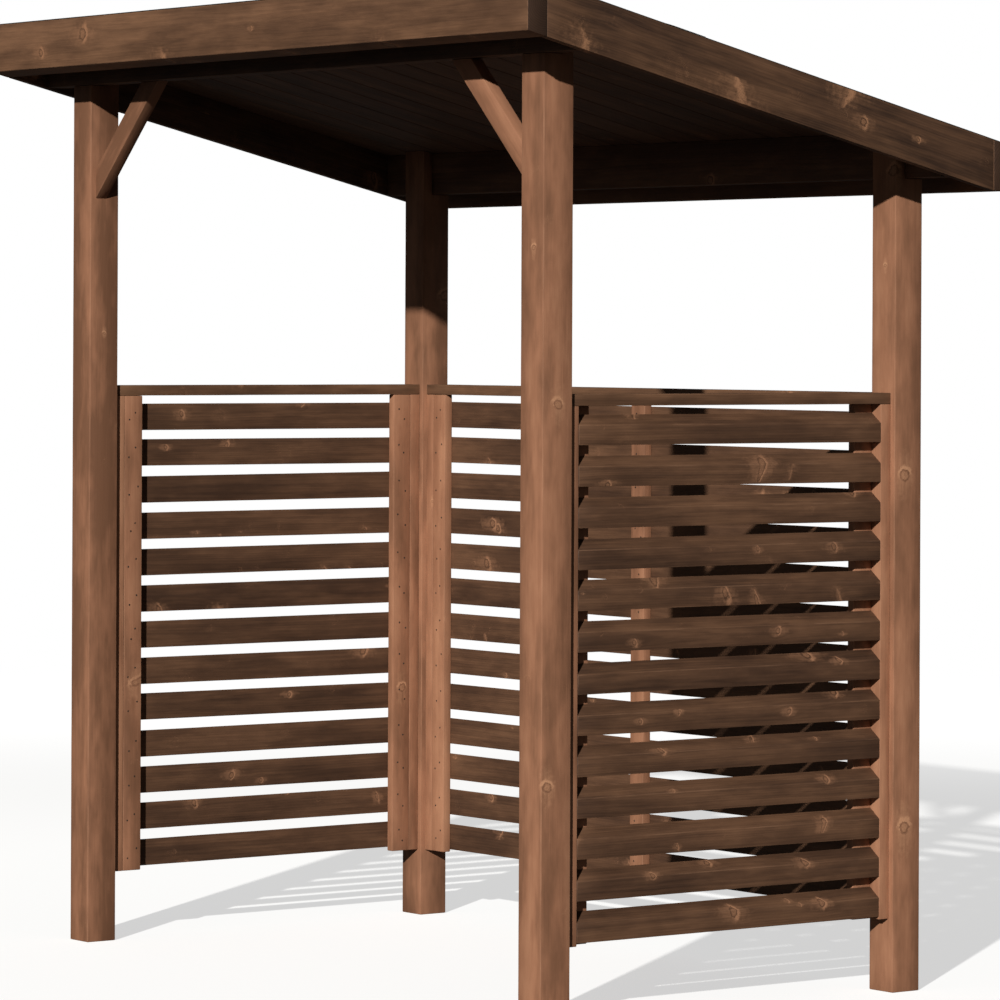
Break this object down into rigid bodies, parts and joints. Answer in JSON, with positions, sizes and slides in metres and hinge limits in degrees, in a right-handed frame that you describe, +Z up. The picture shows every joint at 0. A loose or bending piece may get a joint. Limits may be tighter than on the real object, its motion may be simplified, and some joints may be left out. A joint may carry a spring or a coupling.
{
  "type": "bin shelter",
  "caption": "Timber bin shelter: four square posts, a lean-to felted roof with deep fascias, knee braces and louvred panels on the left, right and back; the front is open.",
  "frame": {"origin": "on the ground, under the middle of the roof", "axes": "+X to the right along the open front, +Y to the back, +Z up; the open front faces -Y"},
  "size_m": [1.904, 1.197, 1.9527],
  "materials": {
    "wood_light": "planed softwood, light brown stain, weathered",
    "wood_mid": "planed softwood, brown stain, weathered",
    "wood_dark": "planed softwood, dark brown stain, weathered",
    "roof_felt": "mineral-faced bitumen felt, charcoal, matt"
  },
  "bodies": {
    "root": {"front_left_post": "wood_light", "front_right_post": "wood_light", "back_left_post": "wood_light", "back_right_post": "wood_light", "left_knee_brace": "wood_light", "right_knee_brace": "wood_light", "front_beam": "wood_dark", "back_beam": "wood_dark", "left_fascia": "wood_dark", "right_fascia": "wood_dark", "roof_boards": "wood_dark", "front_fascia": "wood_mid", "back_fascia": "wood_mid", "roof_felt": "roof_felt", "left_panel_front_upright": "wood_mid", "left_panel_front_batten": "wood_light", "left_panel_back_upright": "wood_mid", "left_panel_back_batten": "wood_light", "left_panel_top_rail": "wood_dark", "left_panel_slats": "wood_dark", "right_panel_front_upright": "wood_mid", "right_panel_front_batten": "wood_light", "right_panel_back_upright": "wood_mid", "right_panel_back_batten": "wood_light", "right_panel_top_rail": "wood_dark", "right_panel_slats": "wood_dark", "back_panel_left_upright": "wood_mid", "back_panel_left_batten": "wood_light", "back_panel_right_upright": "wood_mid", "back_panel_right_batten": "wood_light", "back_panel_middle_batten": "wood_light", "back_panel_top_rail": "wood_dark", "back_panel_slats": "wood_dark"}
  },
  "joints": []
}
